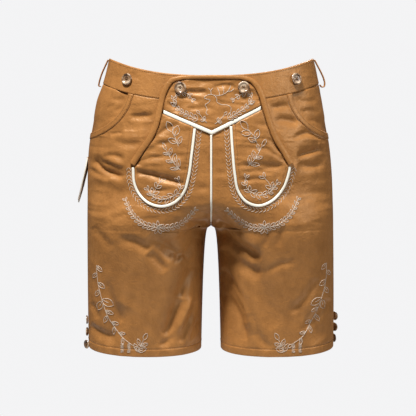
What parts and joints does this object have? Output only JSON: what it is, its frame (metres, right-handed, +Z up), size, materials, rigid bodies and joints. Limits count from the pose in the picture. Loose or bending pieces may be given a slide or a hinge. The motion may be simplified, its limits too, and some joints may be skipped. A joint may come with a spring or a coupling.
{
  "type": "embroidered drop-front folk shorts",
  "caption": "Knee-length drop-front folk shorts in tan micro suede with cream piping, horn-look buttons, hip pockets and a knife pocket, filled out as if worn.",
  "frame": {"origin": "middle of the waist opening, level with the middle of the waistband's whole height", "axes": "+Z up along the worn body, the wearer faces -Y, the wearer's left is +X"},
  "size_m": [0.471, 0.2593, 0.5226],
  "materials": {
    "back_left": "satin-faced micro suede in golden tan, soft nap",
    "back_right": "satin-faced micro suede in golden tan, soft nap",
    "belt_loop_left": "satin-faced micro suede in golden tan, soft nap",
    "belt_loop_right": "satin-faced micro suede in golden tan, soft nap",
    "button_flap_left": "polished marbled horn look",
    "button_flap_right": "polished marbled horn look",
    "button_hem_left_1": "polished marbled horn look",
    "button_hem_left_2": "polished marbled horn look",
    "button_hem_left_3": "polished marbled horn look",
    "button_hem_right_1": "polished marbled horn look",
    "button_hem_right_2": "polished marbled horn look",
    "button_hem_right_3": "polished marbled horn look",
    "button_waist_left": "polished marbled horn look",
    "button_waist_right": "polished marbled horn look",
    "flap_binding": "satin-faced micro suede in golden tan, soft nap",
    "flap_lobe_left": "satin-faced micro suede in golden tan, soft nap",
    "flap_lobe_right": "satin-faced micro suede in golden tan, soft nap",
    "flap_yoke": "satin-faced micro suede in golden tan, soft nap",
    "front_left": "satin-faced micro suede in golden tan, soft nap",
    "front_right": "satin-faced micro suede in golden tan, soft nap",
    "knife_piping": "cream satin-covered piping",
    "knife_pocket": "satin-faced micro suede in golden tan, soft nap",
    "piping_center": "cream satin-covered piping",
    "piping_u_left": "cream satin-covered piping",
    "piping_u_right": "cream satin-covered piping",
    "piping_v": "cream satin-covered piping",
    "pocket_band_left": "satin-faced micro suede in golden tan, soft nap",
    "pocket_band_right": "satin-faced micro suede in golden tan, soft nap",
    "pocket_panel_left": "satin-faced micro suede in golden tan, soft nap",
    "pocket_panel_right": "satin-faced micro suede in golden tan, soft nap",
    "waistband_back": "satin-faced micro suede in golden tan, soft nap",
    "waistband_front_left": "satin-faced micro suede in golden tan, soft nap",
    "waistband_front_right": "satin-faced micro suede in golden tan, soft nap"
  },
  "bodies": {
    "root": {"back_left": "back_left", "back_right": "back_right", "belt_loop_left": "belt_loop_left", "belt_loop_right": "belt_loop_right", "button_flap_left": "button_flap_left", "button_flap_right": "button_flap_right", "button_hem_left_1": "button_hem_left_1", "button_hem_left_2": "button_hem_left_2", "button_hem_left_3": "button_hem_left_3", "button_hem_right_1": "button_hem_right_1", "button_hem_right_2": "button_hem_right_2", "button_hem_right_3": "button_hem_right_3", "button_waist_left": "button_waist_left", "button_waist_right": "button_waist_right", "flap_binding": "flap_binding", "flap_lobe_left": "flap_lobe_left", "flap_lobe_right": "flap_lobe_right", "flap_yoke": "flap_yoke", "front_left": "front_left", "front_right": "front_right", "knife_piping": "knife_piping", "knife_pocket": "knife_pocket", "piping_center": "piping_center", "piping_u_left": "piping_u_left", "piping_u_right": "piping_u_right", "piping_v": "piping_v", "pocket_band_left": "pocket_band_left", "pocket_band_right": "pocket_band_right", "pocket_panel_left": "pocket_panel_left", "pocket_panel_right": "pocket_panel_right", "waistband_back": "waistband_back", "waistband_front_left": "waistband_front_left", "waistband_front_right": "waistband_front_right"}
  },
  "joints": []
}
